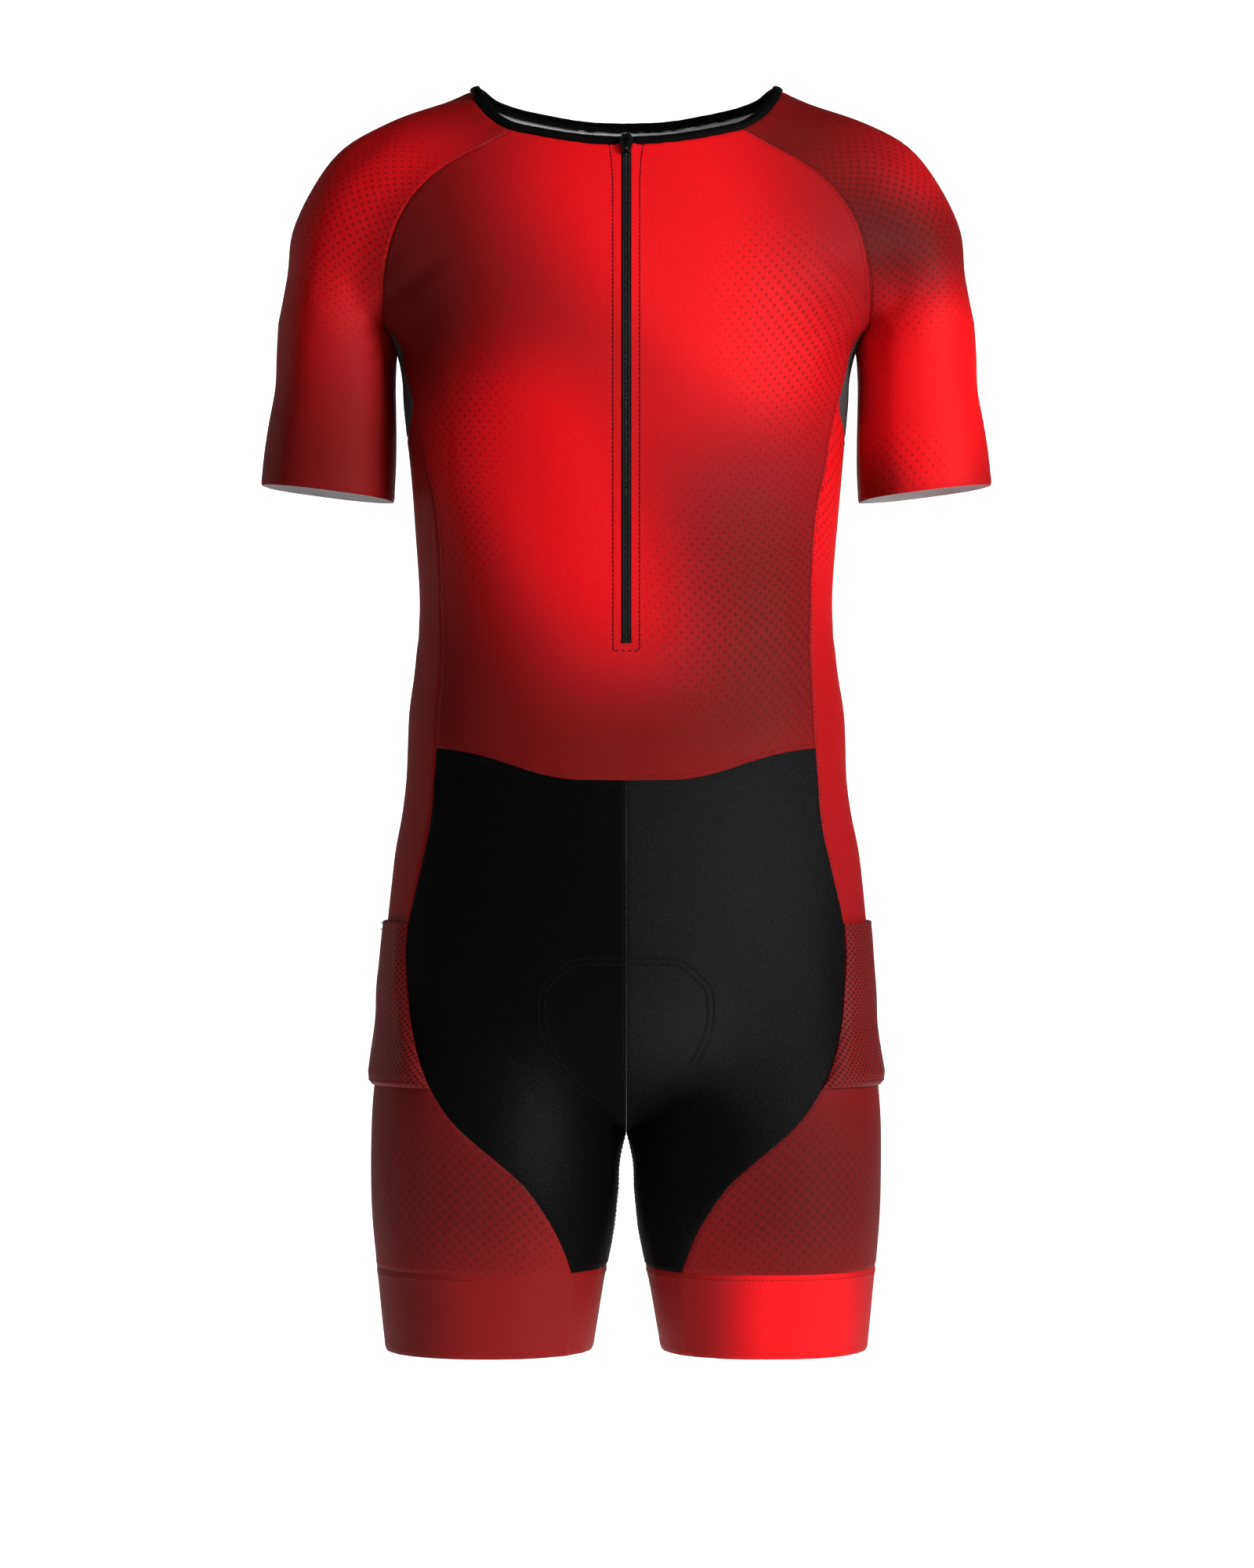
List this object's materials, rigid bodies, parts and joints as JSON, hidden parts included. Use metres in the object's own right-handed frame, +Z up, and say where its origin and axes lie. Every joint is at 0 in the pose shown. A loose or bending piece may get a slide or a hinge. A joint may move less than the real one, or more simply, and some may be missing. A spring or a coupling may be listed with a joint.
{
  "type": "one-piece cycling suit",
  "caption": "Hollow short-sleeve, short-leg cycling suit in worn shape with raglan sleeves, front zip, side panels, mesh thigh pockets and grip bands.",
  "frame": {"origin": "midway between the two neck points, on the plane where the wearer's shoulders carry the suit", "axes": "+Z up, the front faces -Y, +X is the wearer's left"},
  "size_m": [0.5296, 0.2487, 0.9168],
  "materials": {
    "red_knit": "matt printed knit",
    "deep_red_knit": "matt printed knit",
    "black_knit": "matt knit",
    "black_mesh": "open mesh knit",
    "pocket_mesh": "open mesh knit",
    "band_cloth": "matt printed knit",
    "binding_cloth": "folded knit",
    "zip_tape": "woven tape",
    "zip_coil": "nylon coil",
    "black_metal": "black lacquer",
    "steel": "bright tip"
  },
  "bodies": {
    "suit": {"front_panel": "red_knit", "back_panel": "red_knit", "sleeve_left": "red_knit", "sleeve_right": "red_knit", "side_panel_left": "deep_red_knit", "side_panel_right": "deep_red_knit", "underarm_mesh_left": "black_mesh", "underarm_mesh_right": "black_mesh", "shorts_front_left": "black_knit", "shorts_front_right": "black_knit", "shorts_seat_left": "black_knit", "shorts_seat_right": "black_knit", "pocket_left": "pocket_mesh", "pocket_right": "pocket_mesh", "leg_band_left": "band_cloth", "leg_band_right": "band_cloth", "neck_binding": "binding_cloth", "zip_tape_left": "zip_tape", "zip_tape_right": "zip_tape", "zip_coil": "zip_coil", "zip_stop": "black_metal", "zip_slider": "black_metal"},
    "pull_tab": {"zip_pull_tab": "steel"}
  },
  "joints": [
    {"name": "pull_tab_hinge", "type": "hinge", "parent": "suit", "child": "pull_tab", "pos_m": [0, -0.07588, -0.0429], "axis": [-1, 0, 0], "range_deg": [0, 150]}
  ]
}
